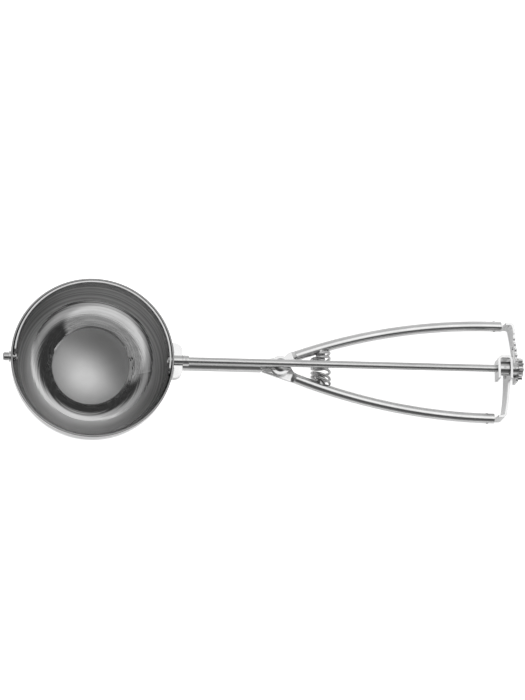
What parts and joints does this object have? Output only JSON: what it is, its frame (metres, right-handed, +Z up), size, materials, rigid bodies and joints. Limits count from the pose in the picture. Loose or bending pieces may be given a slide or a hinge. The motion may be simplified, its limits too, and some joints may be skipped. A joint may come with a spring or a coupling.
{
  "type": "lever ice cream scoop",
  "caption": "Polished steel ice cream scoop whose two sprung handles turn a rod and sweep a curved scraper blade round the inside of the bowl.",
  "frame": {"origin": "bottom centre of the bounding box, on the table that the bowl and the rack plate touch", "axes": "+X from the bowl towards the handles' ends, +Y towards the handle that carries the rack, +Z up. The rod and handles slope down by 6.97 degrees towards +X, as the tool lies on a table."},
  "size_m": [0.2548, 0.0792, 0.0482],
  "materials": {
    "bowl_steel": "mirror-polished stainless steel",
    "blade_steel": "plain polished stainless strip",
    "rod_steel": "drawn and polished stainless rod",
    "spring_steel": "bright drawn spring wire",
    "tube_steel": "polished stainless tube",
    "plate_steel": "polished stainless strip",
    "turned_steel": "turned stainless steel",
    "rivet_steel": "polished rivet steel"
  },
  "bodies": {
    "frame": {"bowl": "bowl_steel", "front_bush": "turned_steel", "rod_sleeve": "turned_steel", "bowl_bracket": "tube_steel", "neck_tube": "tube_steel", "lower_handle": "tube_steel", "pivot_rivet": "rivet_steel", "pivot_washer": "rivet_steel", "frame_rivet": "rivet_steel", "lower_spring_seat": "rivet_steel", "bearing_plate": "plate_steel", "lower_plate_rivet": "rivet_steel", "guide_stud": "rivet_steel", "handle_spring": "spring_steel"},
    "squeeze_handle": {"upper_handle": "tube_steel", "upper_spring_seat": "rivet_steel", "rack_plate": "plate_steel", "upper_plate_rivet": "rivet_steel"},
    "scraper_drive": {"drive_rod": "rod_steel", "scraper_blade": "blade_steel", "front_pin": "rivet_steel", "front_collar": "turned_steel", "front_collar_pin": "rivet_steel", "rear_collar": "turned_steel", "rear_collar_pin": "rivet_steel", "pinion": "turned_steel", "pinion_pin": "rivet_steel"}
  },
  "joints": [
    {"name": "handle_squeeze", "type": "hinge", "parent": "frame", "child": "squeeze_handle", "pos_m": [0.0067, 0, 0.02043], "axis": [-0.1213, 0, -0.9926], "range_deg": [0, 6.36], "stiffness_Nm_per_rad": 12, "springref_deg": -5.73, "deforming": ["handle_spring"]},
    {"name": "scraper_turn", "type": "hinge", "parent": "frame", "child": "scraper_drive", "pos_m": [-0.08424, 0, 0.0396], "axis": [-0.9926, 0, 0.1213], "range_deg": [0, 168]}
  ],
  "couplings": [
    {"joint": "scraper_turn", "follows": "handle_squeeze", "ratio": 26.378}
  ]
}
